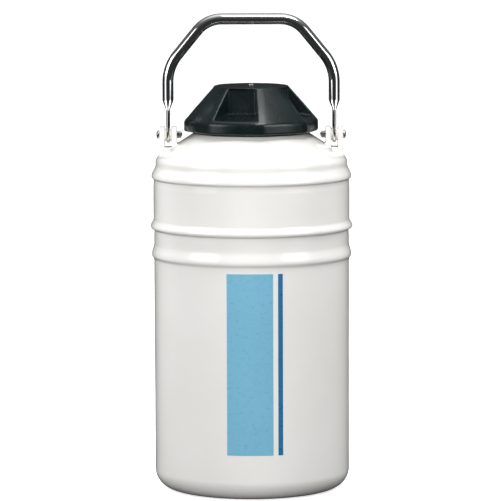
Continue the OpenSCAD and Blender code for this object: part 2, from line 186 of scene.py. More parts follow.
def meet(fields, radius):
    """Where all the fields are negative, with rounded edges."""
    stack = np.stack(np.broadcast_arrays(*fields))
    over = np.maximum(stack + radius, 0)
    return np.minimum(stack.max(0), -radius) + np.sqrt((over ** 2).sum(0))


def blend_of(a, b, radius):
    """Where either field is negative, with a fillet between them."""
    near = np.hypot(np.maximum(radius - a, 0), np.maximum(radius - b, 0))
    return np.maximum(np.minimum(a, b), radius) - near


def skinned(name, field, low, high, pitch):
    """The closed surface on which a distance field is zero, as a quad mesh."""
    axes = [np.arange(lo, hi + pitch, pitch) for lo, hi in zip(low, high)]
    grid = np.stack(np.meshgrid(*axes, indexing="ij"))
    inside = field(*grid) < 0
    nx, ny, nz = (n - 1 for n in inside.shape)
    count = sum(inside[i:i + nx, j:j + ny, k:k + nz].astype(int)
                for i in (0, 1) for j in (0, 1) for k in (0, 1))
    mixed = (count > 0) & (count < 8)
    number = np.full(mixed.shape, -1)
    number[mixed] = np.arange(mixed.sum())
    verts = np.argwhere(mixed) * pitch + np.array(low) + pitch / 2
    step = pitch * 0.02
    for _ in range(6):
        value = field(*verts.T)
        slope = np.stack([
            (field(*(verts + move).T) - field(*(verts - move).T)) / (2 * step)
            for move in np.eye(3) * step
        ], 1)
        size = np.maximum((slope ** 2).sum(1, keepdims=True), 0.05)
        verts = verts - np.clip(value[:, None] * slope / size, -pitch * 0.5, pitch * 0.5)
    faces = []
    for axis in range(3):
        a, b = (axis + 1) % 3, (axis + 2) % 3
        first = np.take(inside, range(inside.shape[axis] - 1), axis)
        second = np.take(inside, range(1, inside.shape[axis]), axis)
        edges = np.argwhere(first != second)
        was_in = first[tuple(edges.T)]
        ea, eb = np.eye(3, dtype=int)[a], np.eye(3, dtype=int)[b]
        quad = np.stack([number[tuple((edges - shift).T)] for shift in (ea + eb, eb, 0 * ea, ea)], 1)
        quad[~was_in] = quad[~was_in][:, ::-1]
        faces.append(quad)
    return mesh_of(name, verts, np.concatenate(faces).tolist(), recalc=False)


def merged(name, *meshes):
    """Several meshes as one."""
    work = bmesh.new()
    for mesh in meshes:
        work.from_mesh(mesh)
    result = bpy.data.meshes.new(name)
    work.to_mesh(result)
    work.free()
    for mesh in meshes:
        bpy.data.meshes.remove(mesh)
    return result


def bored(mesh, tool):
    """The mesh with a tool's mesh cut out of it."""
    body = bpy.data.objects.new("bored", mesh)
    cutter = bpy.data.objects.new("cutter", tool)
    for item in (body, cutter):
        bpy.context.scene.collection.objects.link(item)
    modifier = body.modifiers.new("cut", "BOOLEAN")
    modifier.solver = "EXACT"
    modifier.object = cutter
    graph = bpy.context.evaluated_depsgraph_get()
    result = bpy.data.meshes.new_from_object(body.evaluated_get(graph))
    for item in (body, cutter):
        bpy.data.objects.remove(item)
    return result


# ---- Node materials ----

class Paint:
    """A procedural material, in the coordinates of the object it is on."""

    def __init__(self, name, **shader):
        self.material = bpy.data.materials.new(name)
        self.material.use_nodes = True
        self.tree = self.material.node_tree
        self.shader = self.tree.nodes["Principled BSDF"]
        for key, value in shader.items():
            self.shader.inputs[key.replace("_", " ")].default_value = value
        self.place = self.node("TexCoord").outputs["Object"]
        self.height = None

    def node(self, kind, settings=None, **inputs):
        made = self.tree.nodes.new("ShaderNode" + kind)
        for key, value in (settings or {}).items():
            setattr(made, key, value)
        for key, value in inputs.items():
            self.feed(made.inputs[key.replace("_", " ")], value)
        return made

    def feed(self, socket, value):
        if isinstance(value, bpy.types.NodeSocket):
            self.tree.links.new(value, socket)
        else:
            socket.default_value = value

    def math(self, operation, *values):
        made = self.node("Math", {"operation": operation})
        for socket, value in zip(made.inputs, values):
            self.feed(socket, value)
        return made.outputs[0]

    def stretched(self, scale, place=None):
        made = self.node("Mapping", Vector=place or self.place, Scale=scale)
        return made.outputs[0]

    def round_place(self):
        """Angle, radius and height about Z, as a vector."""
        split = self.node("SeparateXYZ", Vector=self.place)
        angle = self.math("ARCTAN2", split.outputs[1], split.outputs[0])
        radius = self.math("SQRT", self.math(
            "ADD", self.math("MULTIPLY", split.outputs[0], split.outputs[0]),
            self.math("MULTIPLY", split.outputs[1], split.outputs[1])))
        made = self.node("CombineXYZ", X=angle, Y=radius, Z=split.outputs[2])
        return made.outputs[0]

    def axis(self, name):
        return self.node("SeparateXYZ", Vector=self.place).outputs[name]

    def noise(self, scale, detail=3.0, place=None, roughness=0.55):
        made = self.node("TexNoise", Vector=place or self.place,
                         Scale=scale, Detail=detail, Roughness=roughness)
        return made.outputs["Fac"]

    def cells(self, scale, feature="F1", place=None):
        made = self.node("TexVoronoi", {"feature": feature}, Vector=place or self.place, Scale=scale)
        return made.outputs["Distance"]

    def span(self, value, low, high, to_low=0.0, to_high=1.0):
        made = self.node("MapRange", {"interpolation_type": "SMOOTHSTEP"}, Value=value)
        for socket, number in zip(made.inputs[1:5], (low, high, to_low, to_high)):
            socket.default_value = number
        return made.outputs[0]

    def tint(self, factor, first, second):
        made = self.node("Mix", {"data_type": "RGBA"})
        self.feed(made.inputs["Factor"], factor)
        for socket, value in zip(made.inputs[6:8], (first, second)):
            self.feed(socket, value if isinstance(value, bpy.types.NodeSocket) else (*value, 1))
        return made.outputs[2]

    def colour(self, value):
        self.feed(self.shader.inputs["Base Color"], value)
        return self

    def rough(self, value):
        self.feed(self.shader.inputs["Roughness"], value)
        return self

    def bump(self, height, distance, strength=1.0):
        """Adds a relief, its depth in metres, on top of any already there."""
        inputs = {"Height": height, "Distance": distance, "Strength": strength}
        if self.height is not None:
            inputs["Normal"] = self.height
        self.height = self.node("Bump", **inputs).outputs[0]
        self.feed(self.shader.inputs["Normal"], self.height)
        return self


def enamel():
    p = Paint("white_enamel", Coat_Weight=0.8, Coat_Roughness=0.03, Specular_IOR_Level=0.2)
    cloud = p.noise(9.0, 4.0)
    tone = p.tint(p.span(cloud, 0.3, 0.7), (0.80, 0.79, 0.765), (0.83, 0.822, 0.80))
    scuff = p.span(p.noise(60.0, 8.0, p.stretched((1, 1, 0.25)), 0.7), 0.66, 0.8)
    low = p.span(p.axis("Z"), 0.0, 0.09, 1.0, 0.0)
    tone = p.tint(p.math("MULTIPLY", scuff, p.math("MULTIPLY", low, 0.22)), tone, (0.66, 0.64, 0.60))
    speck = p.span(p.cells(170.0), 0.035, 0.05, 1.0, 0.0)
    few = p.span(p.noise(23.0, 1.0), 0.66, 0.74)
    p.colour(p.tint(p.math("MULTIPLY", p.math("MULTIPLY", speck, few), 0.25), tone, (0.55, 0.52, 0.48)))
    p.rough(p.span(p.noise(35.0, 5.0), 0.25, 0.8, 0.13, 0.24))
    p.bump(p.noise(420.0, 2.0), 0.00003, 0.4)
    p.bump(p.noise(14.0, 1.0), 0.0005, 0.10)
    return p.material


def chrome():
    p = Paint("polished_chrome", Metallic=1.0, Specular_IOR_Level=0.5)
    flow = p.node("UVMap", {"uv_map": "flow"}).outputs[0]
    streak = p.noise(1.0, 3.0, p.stretched((14.0, 60.0, 1.0), flow))
    p.colour(p.tint(p.noise(40.0, 3.0), (0.80, 0.81, 0.825), (0.90, 0.905, 0.91)))
    haze = p.span(streak, 0.35, 0.75, 0.035, 0.11)
    mark = p.span(p.noise(1.0, 6.0, p.stretched((5.0, 260.0, 1.0), flow), 0.75), 0.68, 0.78)
    p.rough(p.math("ADD", haze, p.math("MULTIPLY", mark, 0.14)))
    p.bump(streak, 0.00003, 0.5)
    p.bump(p.noise(30.0, 2.0), 0.0004, 0.22)
    return p.material


def black_plastic():
    p = Paint("black_plastic", Specular_IOR_Level=0.5, Coat_Weight=0.05)
    cloud = p.noise(26.0, 5.0)
    tone = p.tint(p.span(cloud, 0.3, 0.7), (0.0034, 0.0078, 0.0081), (0.0064, 0.0126, 0.0130))
    scratch = p.span(p.noise(48.0, 8.0, p.stretched((1, 3.2, 1.4)), 0.75), 0.70, 0.78)
    p.colour(p.tint(p.math("MULTIPLY", scratch, 0.2), tone, (0.05, 0.06, 0.06)))
    p.rough(p.math("ADD", p.span(cloud, 0.25, 0.75, 0.22, 0.32), p.math("MULTIPLY", scratch, 0.12)))
    p.bump(p.noise(1500.0, 2.0), 0.00003, 0.6)
    p.bump(p.noise(40.0, 1.0), 0.0003, 0.2)
    return p.material


def rubber():
    p = Paint("skirt_rubber", Specular_IOR_Level=0.35)
    cloud = p.noise(70.0, 5.0)
    p.colour(p.tint(p.span(cloud, 0.35, 0.75), (0.012, 0.012, 0.012), (0.035, 0.034, 0.032)))
    p.rough(p.span(cloud, 0.3, 0.7, 0.55, 0.75))
    p.bump(p.noise(900.0, 3.0), 0.00006, 0.7)
    return p.material


def turned_metal(name, first, second, low, high):
    """Metal with fine rings from turning or brushing about Z."""
    p = Paint(name, Metallic=1.0, Specular_IOR_Level=0.5)
    rings = p.noise(1.0, 4.0, p.stretched((1.2, 2600.0, 2600.0), p.round_place()))
    cloud = p.noise(45.0, 4.0)
    p.colour(p.tint(cloud, first, second))
    p.rough(p.math("ADD", p.span(rings, 0.3, 0.7, low, high), p.math("MULTIPLY", cloud, 0.08)))
    p.bump(rings, 0.00002, 0.6)
    return p.material


def plated_steel():
    p = Paint("plated_steel", Metallic=1.0, Specular_IOR_Level=0.5)
    cloud = p.noise(260.0, 4.0)
    p.colour(p.tint(cloud, (0.50, 0.50, 0.50), (0.72, 0.715, 0.70)))
    p.rough(p.span(cloud, 0.3, 0.7, 0.2, 0.42))
    p.bump(p.noise(1400.0, 3.0), 0.00003, 0.6)
    return p.material


def nylon():
    p = Paint("washer_nylon", Subsurface_Weight=0.15, Subsurface_Scale=0.002)
    cloud = p.noise(150.0, 4.0)
    p.colour(p.tint(cloud, (0.72, 0.69, 0.60), (0.82, 0.79, 0.71)))
    p.rough(p.span(cloud, 0.3, 0.7, 0.38, 0.55))
    p.bump(p.noise(800.0, 3.0), 0.00004, 0.5)
    return p.material


def foam():
    p = Paint("plug_foam", Specular_IOR_Level=0.3)
    wall = p.cells(330.0, "DISTANCE_TO_EDGE")
    cloud = p.noise(30.0, 4.0)
    tone = p.tint(p.span(cloud, 0.3, 0.7), (0.80, 0.79, 0.755), (0.88, 0.875, 0.85))
    p.colour(p.tint(p.span(wall, 0.0, 0.12, 0.5, 0.0), tone, (0.60, 0.585, 0.54)))
    p.rough(p.span(cloud, 0.3, 0.7, 0.75, 0.92))
    p.bump(p.span(wall, 0.0, 0.3), 0.0003, 0.8)
    p.bump(p.noise(1600.0, 3.0), 0.00005, 0.5)
    return p.material


def fibreglass():
    p = Paint("neck_fibreglass", Specular_IOR_Level=0.5, Coat_Weight=0.3, Coat_Roughness=0.15)
    place = p.round_place()
    wraps = []
    for lean in (1, -1):
        made = p.node("TexWave", {"wave_type": "BANDS", "bands_direction": "DIAGONAL"},
                      Vector=p.stretched((1.0 * lean, 0.0, 34.0), place),
                      Scale=5.0, Distortion=0.6, Detail=2.0)
        wraps.append(made.outputs["Fac"])
    weave = p.math("MULTIPLY", *wraps)
    p.colour(p.tint(weave, (0.40, 0.37, 0.20), (0.58, 0.55, 0.34)))
    p.rough(p.span(weave, 0.0, 1.0, 0.35, 0.5))
    p.bump(weave, 0.00015, 0.5)
    return p.material


def foil():
    p = Paint("blanket_foil", Metallic=0.9)
    crease = p.cells(36.0, "DISTANCE_TO_EDGE")
    p.colour(p.tint(p.noise(20.0), (0.68, 0.69, 0.71), (0.86, 0.87, 0.88)))
    p.rough(p.span(p.noise(90.0), 0.3, 0.7, 0.18, 0.4))
    p.bump(crease, 0.002, 0.7)
    p.bump(p.noise(140.0, 5.0), 0.0005, 0.6)
    return p.material


def cloth():
    p = Paint("sieve_cloth", Sheen_Weight=0.2)
    threads = []
    for direction in ("X", "Y"):
        made = p.node("TexWave", {"wave_type": "BANDS", "bands_direction": direction},
                      Vector=p.place, Scale=260.0, Distortion=0.3)
        threads.append(made.outputs["Fac"])
    weave = p.math("MAXIMUM", *threads)
    p.colour(p.tint(weave, (0.46, 0.40, 0.28), (0.68, 0.62, 0.48)))
    p.rough(p.span(p.noise(60.0), 0.3, 0.7, 0.8, 0.95))
    p.bump(weave, 0.0003, 0.8)
    return p.material


def film(name, dark, light):
    """Printed film: an even colour, a little mottled, under a clear gloss."""
    p = Paint(name, Coat_Weight=0.25, Coat_Roughness=0.08, Specular_IOR_Level=0.45)
    mottle = p.noise(210.0, 4.0, p.stretched((1, 1, 1.6)), 0.6)
    drift = p.noise(14.0, 2.0)
    mixed = p.math("ADD", p.math("MULTIPLY", mottle, 0.6), p.math("MULTIPLY", drift, 0.4))
    p.colour(p.tint(p.span(mixed, 0.36, 0.64), dark, light))
    p.rough(p.span(mottle, 0.3, 0.7, 0.26, 0.36))
    p.bump(p.noise(900.0, 2.0), 0.00001, 0.5)
    return p.material


ENAMEL = enamel()
CHROME = chrome()
PLASTIC = black_plastic()
RUBBER = rubber()
ALUMINIUM = turned_metal("bare_aluminium", (0.62, 0.63, 0.64), (0.80, 0.81, 0.82), 0.22, 0.42)
BRASS = turned_metal("insert_brass", (0.66, 0.47, 0.2), (0.83, 0.63, 0.3), 0.2, 0.35)
STEEL = plated_steel()
NYLON = nylon()
FOAM = foam()
FIBREGLASS = fibreglass()
FOIL = foil()
CLOTH = cloth()
LIGHT_FILM = film("light_blue_film", (0.174, 0.436, 0.602), (0.190, 0.458, 0.626))
DARK_FILM = film("dark_blue_film", (0.016, 0.150, 0.320), (0.019, 0.160, 0.338))

# ---- Outer vessel ----

RING3, RING2, RING1 = (113.6, 268.6), (114.9, 300.8), (113.7, 357.3)
UNDER2, UNDER1 = 5.2, 4.0
OVER3, OVER2, OVER1 = 13, 8.4, 13.5
DRAW2, DRAW1 = 0.35, 0.5
RECESS_R, BAND_R, COLLAR_R = 110.9, 111.5, 109.0
KNUCKLE_R = 9
CROWN_OUT, CROWN_IN = 62.0, 36.0
SEAM_GAP = 0.05
NECK_HOLE_R = 33.05

knuckle_c = (COLLAR_R - KNUCKLE_R, 373.2)
knuckle_end = (knuckle_c[0] + KNUCKLE_R * math.sin(SHOULDER_SLOPE),
               knuckle_c[1] + KNUCKLE_R * math.cos(SHOULDER_SLOPE))
crown_low = (CROWN_OUT, knuckle_end[1] + (knuckle_end[0] - CROWN_OUT) * math.tan(SHOULDER_SLOPE))
crown_r = (CROWN_OUT - CROWN_IN) / math.sin(SHOULDER_SLOPE)
crown_c = (CROWN_IN, crown_low[1] - crown_r * math.cos(SHOULDER_SLOPE))
shoulder = (arc(knuckle_c, KNUCKLE_R, 0, 90 - math.degrees(SHOULDER_SLOPE), 12)
            + arc(crown_c, crown_r, 90 - math.degrees(SHOULDER_SLOPE), 90, 14))

upper_outside = (
    bead_over(RECESS_R, RING3, OVER3)
    + dip(RECESS_R, DRAW2, RING2[1] - UNDER2 - 6.8, RING2[1] - UNDER2)
    + bead_under(RECESS_R - DRAW2, RING2, UNDER2)[1:]
    + bead_over(BAND_R, RING2, OVER2)
    + dip(BAND_R, DRAW1, RING1[1] - UNDER1 - 8, RING1[1] - UNDER1)
    + bead_under(BAND_R - DRAW1, RING1, UNDER1)[1:]
    + bead_over(COLLAR_R, RING1, OVER1) + shoulder + [(NECK_HOLE_R, CROWN_TOP)])
upper_shell = (bead_under(CAN_R + 0.4, RING3, RING3[1] - SEAM_Z) + upper_outside
               + inset(upper_outside, SHELL_T)[::-2]
               + [(COLLAR_R, CAN_TOP + 3), (CAN_R + SEAM_GAP, CAN_TOP + 0.5),
                  (CAN_R + SEAM_GAP, SEAM_Z)])
piece_from("upper_shell_body", revolved("upper_shell_body", upper_shell, 224), "vessel",
           ["upper_shell"], ENAMEL)

BOTTOM_CORNER_R = 22
PORT_HOLE_R = 9.0
RECESS, RECESS_IN, RECESS_OUT, RECESS_STEPS = 6.0, 62, 70, 12
recess_wall = [(RECESS_IN + (RECESS_OUT - RECESS_IN) * i / RECESS_STEPS,
                RECESS / 2 * (1 + math.cos(math.pi * i / RECESS_STEPS)))
               for i in range(RECESS_STEPS + 1)]
lower_outside = (
    [(PORT_HOLE_R, RECESS), (35.0, RECESS)] + recess_wall
    + arc((CAN_R - BOTTOM_CORNER_R, BOTTOM_CORNER_R), BOTTOM_CORNER_R, -90, 0, 20)
    + [(CAN_R, 60), (CAN_R, 140), (CAN_R, CAN_TOP)])
lower_shell = lower_outside + inset(lower_outside, SHELL_T)[::-2] + [(PORT_HOLE_R, RECESS + SHELL_T)]
piece_from("lower_shell_body", revolved("lower_shell_body", lower_shell, 224), "vessel",
           ["lower_shell"], ENAMEL)


FILM_GAP, FILM_T = 0.03, 0.15
PANEL_EDGES, STRIPE_EDGES = (-28.0, 23.8), (29.3, 34.6)


def curved_film(name, left, right, low, high):
    """A thin film on the front of the can, between two distances straight across."""
    inner, outer = CAN_R + FILM_GAP, CAN_R + FILM_GAP + FILM_T
    start, end = (math.asin(x / CAN_R) - math.pi / 2 for x in (left, right))
    steps = max(4, round(right - left))
    verts, faces = [], []
    for i in range(steps + 1):
        angle = start + (end - start) * i / steps
        for radius, z in ((inner, low), (outer, low), (outer, high), (inner, high)):
            verts.append((radius * math.cos(angle), radius * math.sin(angle), z))
    for i in range(steps):
        for k in range(4):
            m = (k + 1) % 4
            faces.append((4 * i + k, 4 * i + m, 4 * i + 4 + m, 4 * i + 4 + k))
    faces += [(0, 1, 2, 3), tuple(4 * steps + k for k in range(4))]
    return mesh_of(name, verts, faces)


piece_from("panel_film", curved_film("panel_film", *PANEL_EDGES, PANEL_LOW, PANEL_HIGH), "vessel",
           ["blue_panel"], LIGHT_FILM)
piece_from("stripe_film", curved_film("stripe_film", *STRIPE_EDGES, PANEL_LOW, PANEL_HIGH), "vessel",
           ["blue_stripe"], DARK_FILM)

# ---- Neck ----

NECK_R, NECK_WALL, TUBE_TOP = 28.0, 1.7, 417.55
SLEEVE_R, SLEEVE_LOW = 33.0, CROWN_TOP - 15
TUBE_SEAT_R, TUBE_SEAT_Z = NECK_R + NECK_WALL + 0.05, MOUTH_Z - 1.5
neck_ring = softened([
    (NECK_R, MOUTH_Z), (CROWN_IN, MOUTH_Z), (CROWN_IN, CROWN_TOP), (SLEEVE_R, CROWN_TOP),
    (SLEEVE_R, SLEEVE_LOW), (TUBE_SEAT_R, SLEEVE_LOW), (TUBE_SEAT_R, TUBE_SEAT_Z),
    (NECK_R, TUBE_SEAT_Z)], 0.4)
piece_from("neck_ring_turned", revolved("neck_ring_turned", neck_ring), "vessel",
           ["neck_ring"], ALUMINIUM)
TUBE_LOW = 238.5
neck_tube = [(NECK_R + NECK_WALL, TUBE_LOW), (NECK_R + NECK_WALL, TUBE_TOP), (NECK_R, TUBE_TOP),
             (NECK_R, TUBE_LOW)]
piece_from("neck_tube_wound", revolved("neck_tube_wound", neck_tube), "vessel",
           ["neck_tube"], FIBREGLASS)

# ---- Lid ----

CORNER = math.radians(22.5)
RIM_FLAT, SLOPE_FLAT, TOP_FLAT = 72.9, 70.4, 43.9
CONE_OF = 1.038
RIM_TOP, SLOPE_Z = RIM_Z + 12.5, RIM_Z + 15.5
CORNER_ROUND, LIP_ROUND = 5.0, 1.5
POCKET_BACK, POCKET_BACK_HALF = 38.5, 15.4
POCKET_MOUTH, POCKET_MOUTH_HALF = 71.8, 27.0
POCKET_ROOF, POCKET_FLOOR_IN, POCKET_FLOOR_OUT = LID_TOP - 2.2, 430.0, SLOPE_Z - 0.5
CAP_IN_R, CAP_IN_TOP = 66.55, 422
HOLLOW_R, HOLLOW_TOP = 36.0, 455


def plane_2d(u, v, start, end):
    """Distance outside the line from start to end, which has the solid on its left."""
    along = Vector((end[0] - start[0], end[1] - start[1])).normalized()
    return (u - start[0]) * along.y - (v - start[1]) * along.x


def lid_side(radius, reaches, z, start, end):
    """One storey of the lid's side: softly faceted, midway between a cone and eight planes."""
    flats = meet([plane_2d(reach, z, start, end) for reach in reaches], CORNER_ROUND)
    cone = plane_2d(radius, z, (start[0] * CONE_OF, start[1]), (end[0] * CONE_OF, end[1]))
    return (flats + cone) / 2


def lid_field(x, y, z):
    radius, angle = np.hypot(x, y), np.arctan2(y, x) - LID_TURN
    side = np.abs((angle + CORNER) % (2 * CORNER) - CORNER)
    reaches = [radius * np.cos(turn) for turn in (side, 2 * CORNER - side)]
    levels = [(RIM_FLAT, RIM_Z), (RIM_FLAT, RIM_TOP), (SLOPE_FLAT, SLOPE_Z), (TOP_FLAT, LID_TOP)]
    faces = [lid_side(radius, reaches, z, *pair) for pair in zip(levels, levels[1:])]
    outside = meet([z - LID_TOP, RIM_Z - z, *faces], LIP_ROUND)
    turn = (angle + 2 * CORNER) % (4 * CORNER) - 2 * CORNER
    out, across = radius * np.cos(turn), np.abs(radius * np.sin(turn))
    pocket = meet([
        POCKET_BACK - out, z - POCKET_ROOF,
        plane_2d(across, out, (POCKET_BACK_HALF, POCKET_BACK), (POCKET_MOUTH_HALF, POCKET_MOUTH)),
        plane_2d(out, z, (POCKET_BACK, POCKET_FLOOR_IN), (POCKET_MOUTH, POCKET_FLOOR_OUT))], 0.7)
    shaped = meet([outside, -pocket], LIP_ROUND)
    hollow = np.minimum(np.maximum(radius - CAP_IN_R, z - CAP_IN_TOP),
                        np.maximum(radius - HOLLOW_R, z - HOLLOW_TOP))
    return np.maximum(shaped, -hollow)


LID_REACH = RIM_FLAT + 6
lid_mesh = skinned("lid_cap_moulded", lid_field, (-LID_REACH, -LID_REACH, RIM_Z - 3),
                   (LID_REACH, LID_REACH, LID_TOP + 3), 1.05)
piece_from("lid_cap_moulded", lid_mesh, "lid", ["lid_cap"], PLASTIC, 55)

skirt_low = crown_low[1] + 0.35 / math.cos(SHOULDER_SLOPE)
skirt_fall = math.tan(SHOULDER_SLOPE)
SKIRT_IN, SKIRT_OUT, SKIRT_TOP = 58.0, 66.5, 421.95
skirt = softened([(SKIRT_IN, SKIRT_TOP), (SKIRT_OUT, SKIRT_TOP),
                  (SKIRT_OUT, skirt_low - (SKIRT_OUT - CROWN_OUT) * skirt_fall),
                  (SKIRT_IN, skirt_low + (CROWN_OUT - SKIRT_IN) * skirt_fall)], 0.7)
piece_from("lid_skirt_ring", revolved("lid_skirt_ring", skirt), "lid",
           ["lid_skirt"], RUBBER)
PLUG_R, PLUG_GAP, FOAM_TOP = 26.5, 0.06, 454.95
FOAM_OUT, FOAM_CORE_R = 57.8, 35.95
lid_foam = softened([
    (PLUG_R + PLUG_GAP, MOUTH_Z), (FOAM_OUT, MOUTH_Z), (FOAM_OUT, SKIRT_TOP),
    (FOAM_CORE_R, SKIRT_TOP), (FOAM_CORE_R, FOAM_TOP), (PLUG_R + PLUG_GAP, FOAM_TOP)], 0.8)
piece_from("lid_foam_body", revolved("lid_foam_body", lid_foam), "lid", ["lid_foam"], FOAM)
PLUG_LOW, PLUG_TOP = 359.07, 455.0
neck_plug = softened([(0.0, PLUG_LOW), (PLUG_R, PLUG_LOW), (PLUG_R, PLUG_TOP), (0.0, PLUG_TOP)],
                     2.0, 6)
piece_from("neck_plug_foam", revolved("neck_plug_foam", neck_plug), "plug",
           ["neck_plug"], FOAM)


SCREW_HEAD_R, SCREW_HEAD_H, SCREW_DOME_R = 3.3, 2.1, 7.0
SCREW_R, SCREW_LOW = 2, 445


def screw_field(x, y, z):
    """A domed head with one straight slot."""
    radius = np.hypot(x, y)
    dome_z = LID_TOP + SCREW_HEAD_H - SCREW_DOME_R
    dome = np.sqrt(radius ** 2 + (z - dome_z) ** 2) - SCREW_DOME_R
    head = meet([radius - SCREW_HEAD_R, dome, LID_TOP - z], 0.25)
    slot = np.maximum(np.abs(x) - 0.45, LID_TOP + 1.0 - z)
    return np.maximum(head, -slot)


piece_from("lid_screw_head", merged(
    "lid_screw_head",
    skinned("head", screw_field, (-4, -4, LID_TOP - 0.6), (4, 4, LID_TOP + 2.6), 0.22),
    revolved("shank", [(0, SCREW_LOW), (SCREW_R, SCREW_LOW), (SCREW_R, LID_TOP), (0, LID_TOP)], 32)),
    "plug", ["lid_screw"], STEEL)

# ---- Bail: a round tube swept along its centreline, pressed flat at both ends ----

TUBE_R = 6.3
TOP_Z, TOP_HALF, HIGH_R, LOW_R = 535.6, 33.3, 35.7, 49.7
LEAN = 39.2
LEAN_SIN, LEAN_COS = math.sin(math.radians(LEAN)), math.cos(math.radians(LEAN))
STRIP_TOP, TAPER_TOP = 431.5, 445.0
STRIP_A, STRIP_B = 2.1, 9.3
LOW_Z = (TOP_Z - HIGH_R * (1 - LEAN_SIN) - LOW_R * LEAN_SIN
         - LEAN_COS * (LEG_X - LOW_R * (1 - LEAN_COS) - TOP_HALF - HIGH_R * LEAN_COS) / LEAN_SIN)


def bail_line():
    """Centreline from the top bar's middle down the right leg: (x, z) points."""
    points = [(TOP_HALF * i / 8, TOP_Z) for i in range(8)]
    points += arc((TOP_HALF, TOP_Z - HIGH_R), HIGH_R, 90, LEAN, 16)
    start, end = points[-1], arc((LEG_X - LOW_R, LOW_Z), LOW_R, LEAN, LEAN, 1)[0]
    points += [(start[0] + (end[0] - start[0]) * i / 10, start[1] + (end[1] - start[1]) * i / 10)
               for i in range(1, 10)]
    points += arc((LEG_X - LOW_R, LOW_Z), LOW_R, LEAN, 0, 16)
    points += [(LEG_X, z) for z in np.linspace(LOW_Z, TAPER_TOP, 7)[1:]]
    points += [(LEG_X, z) for z in np.linspace(TAPER_TOP, STRIP_TOP, 19)[1:]]
    points += [(LEG_X, z) for z in np.linspace(STRIP_TOP, PIVOT_Z, 8)[1:]]
    points += [(LEG_X, PIVOT_Z - STRIP_B * math.sin(math.radians(a))) for a in range(6, 88, 6)]
    return points


def section(x, z):
    """Half thickness and half width of the bail at a point of its centreline."""
    if z >= TAPER_TOP or x < LEG_X - 1e-6:
        return TUBE_R, TUBE_R
    if z > STRIP_TOP:
        t = (TAPER_TOP - z) / (TAPER_TOP - STRIP_TOP)
        t = t * t * (3 - 2 * t)
        return TUBE_R + (STRIP_A - TUBE_R) * t, TUBE_R + (STRIP_B - TUBE_R) * t
    drop = max(PIVOT_Z - z, 0)
    thin = drop - (STRIP_B - STRIP_A)
    half = STRIP_A if thin < 0 else math.sqrt(max(STRIP_A ** 2 - thin ** 2, 0.01))
    return half, math.sqrt(STRIP_B ** 2 - drop ** 2)


BAIL_SIDES = 56


def bail_mesh():
    right = bail_line()
    line = [(-x, z) for x, z in right[::-1]] + right[1:]
    around = BAIL_SIDES
    verts, faces, travel, run = [], [], [], 0.0
    for i, (x, z) in enumerate(line):
        before, after = line[max(i - 1, 0)], line[min(i + 1, len(line) - 1)]
        along = Vector((after[0] - before[0], after[1] - before[1])).normalized()
        if i:
            run += math.hypot(x - line[i - 1][0], z - line[i - 1][1])
        travel.append(run * MM)
        thick, wide = section(abs(x), z)
        edge = min(thick, wide)
        for k in range(around):
            angle = 2 * math.pi * (k + 0.5) / around
            out = thick * math.cos(angle)
            across = math.copysign(wide - edge, math.sin(angle)) + edge * math.sin(angle)
            verts.append((x - out * along.y, across, z + out * along.x))
    for i in range(len(line) - 1):
        for k in range(around):
            m = (k + 1) % around
            faces.append((i * around + k, i * around + m, (i + 1) * around + m, (i + 1) * around + k))
    faces += [tuple(range(around)), tuple(range(len(verts) - around, len(verts)))]
    mesh = mesh_of("bail_tube", verts, faces)
    flow = mesh.uv_layers.new(name="flow")
    for loop in mesh.loops:
        row, k = divmod(loop.vertex_index, around)
        flow.data[loop.index].uv = (travel[row], abs(2 * k / around - 1) * 0.02)
    return mesh


ALONG_X = Matrix.Rotation(math.pi / 2, 4, "Y")


def at_pivot(x, side):
    """Places something drawn along +Z so that it runs outwards along X at a pivot."""
    return (Matrix.Diagonal((side, 1, 1, 1)) @ Matrix.Translation((x, 0, PIVOT_Z)) @ ALONG_X)


BAIL_BORE_R = 2.56
bail = bail_mesh()
for side in (-1, 1):
    hole = [(0, -SLOT_W), (BAIL_BORE_R, -SLOT_W), (BAIL_BORE_R, SLOT_W), (0, SLOT_W)]
    bail = bored(bail, revolved("hole", hole, 40, at_pivot(LEG_X, side)))
bail.name = "bail_tube"
piece_from("bail_tube", bail, "handle", ["bail"], CHROME, 50)

# ---- Brackets, bolts, nuts and washers ----

SLOT_IN, SLOT_OUT = LEG_X - SLOT_W / 2, LEG_X + SLOT_W / 2
SLOT_FLOOR = PIVOT_Z - 14
EAR_HALF = 9.5
EAR_BORE_R = 2.55
shoulder_r = np.array([r for r, _ in shoulder][::-1])
shoulder_z = np.array([z for _, z in shoulder][::-1])


